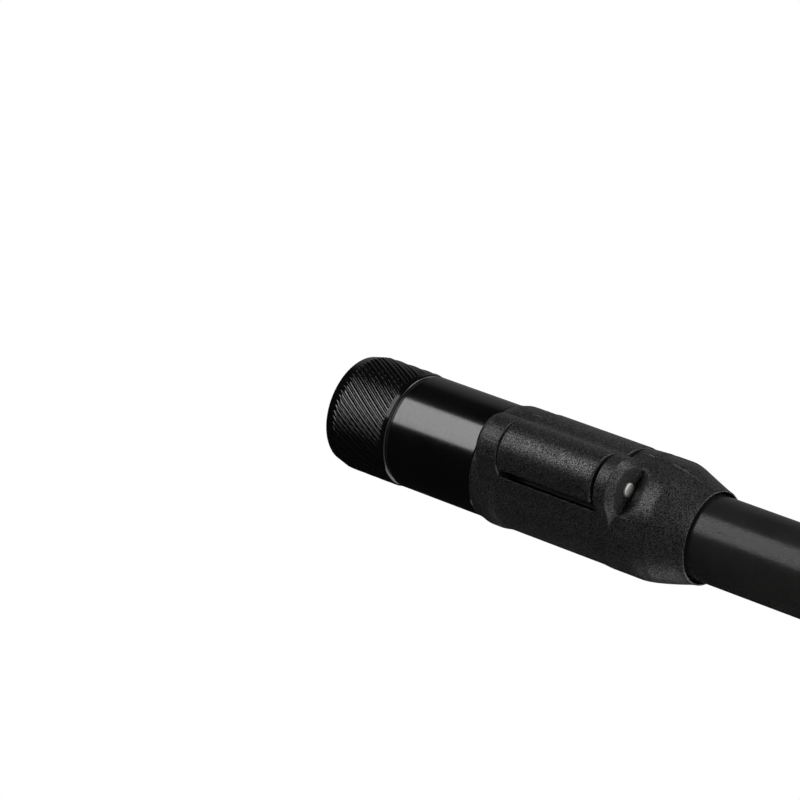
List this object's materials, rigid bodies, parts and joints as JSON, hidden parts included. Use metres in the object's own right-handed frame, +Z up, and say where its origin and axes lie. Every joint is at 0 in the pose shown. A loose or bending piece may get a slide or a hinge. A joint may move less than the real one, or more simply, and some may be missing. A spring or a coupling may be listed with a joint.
{
  "type": "telescoping camera pole",
  "caption": "Slim two-section camera pole: threaded stud and knurled lock ring on top, flip-lever locks, sliding tubes and a rubber foot.",
  "frame": {"origin": "centre of the seat that the camera rests on, on the stud's axis", "axes": "+Z up along the pole out of the stud, -Y towards the flip lock's hinge pin, +X the side its paddle wraps to"},
  "size_m": [0.026, 0.0316, 0.395],
  "materials": {
    "gloss_anodised": "black anodised, glossy",
    "satin_anodised": "black anodised, satin",
    "knurled_anodised": "black anodised, knurled",
    "bare_aluminium": "machined",
    "moulded_plastic": "black, fine grained",
    "lever_plastic": "black, fine grained, satin",
    "bush_plastic": "smooth grey-black",
    "steel": "bright",
    "black_steel": "black oxide",
    "rubber": "matt"
  },
  "bodies": {
    "head": {"camera_stud": "steel", "head_plug": "satin_anodised", "plug_set_screws": "black_steel", "upper_tube": "gloss_anodised", "housing_set_screws": "black_steel", "lock_housing": "moulded_plastic", "lever_pin": "steel", "nose_bush": "bush_plastic"},
    "seat": {"seat_pad": "rubber"},
    "ring": {"lock_ring": "knurled_anodised"},
    "lever": {"lock_lever": "lever_plastic"},
    "shoe": {"brake_shoe": "bush_plastic"},
    "pole": {"pole_tube": "satin_anodised", "pole_cap": "bush_plastic", "lower_set_screws": "black_steel", "lower_lock_housing": "moulded_plastic", "lower_lever_pin": "steel", "lower_nose_bush": "bush_plastic"},
    "lower_lever": {"lower_lock_lever": "lever_plastic"},
    "lower_shoe": {"lower_brake_shoe": "bush_plastic"},
    "leg": {"leg_tube": "satin_anodised", "leg_bush": "bush_plastic", "foot_plug": "bare_aluminium", "rubber_foot": "rubber"}
  },
  "joints": [
    {"name": "ring_lift", "type": "slide", "parent": "head", "child": "seat", "axis": [0, 0, 1], "range_m": [0, 0.003]},
    {"name": "ring_turn", "type": "hinge", "parent": "seat", "child": "ring", "pos_m": [0, 0, -0.009], "axis": [0, 0, 1], "range_deg": [0, 720]},
    {"name": "lever_flip", "type": "hinge", "parent": "head", "child": "lever", "pos_m": [0, -0.01215, -0.0605], "axis": [0, 0, -1], "range_deg": [0, 50]},
    {"name": "shoe_release", "type": "slide", "parent": "head", "child": "shoe", "axis": [0, -1, 0], "range_m": [0, 0.00011]},
    {"name": "pole_slide", "type": "slide", "parent": "head", "child": "pole", "axis": [0, 0, -1], "range_m": [0, 0.04]},
    {"name": "lower_lever_flip", "type": "hinge", "parent": "pole", "child": "lower_lever", "pos_m": [0, -0.01015, -0.3174], "axis": [0, 0, -1], "range_deg": [0, 50]},
    {"name": "lower_shoe_release", "type": "slide", "parent": "pole", "child": "lower_shoe", "axis": [0, -1, 0], "range_m": [0, 0.00011]},
    {"name": "leg_slide", "type": "slide", "parent": "pole", "child": "leg", "axis": [0, 0, -1], "range_m": [0, 0.17]}
  ],
  "couplings": [
    {"joint": "ring_lift", "follows": "ring_turn", "m_per_rad": 0.0002387},
    {"joint": "shoe_release", "follows": "lever_flip", "m_per_rad": 0.000126},
    {"joint": "lower_shoe_release", "follows": "lower_lever_flip", "m_per_rad": 0.000126}
  ]
}
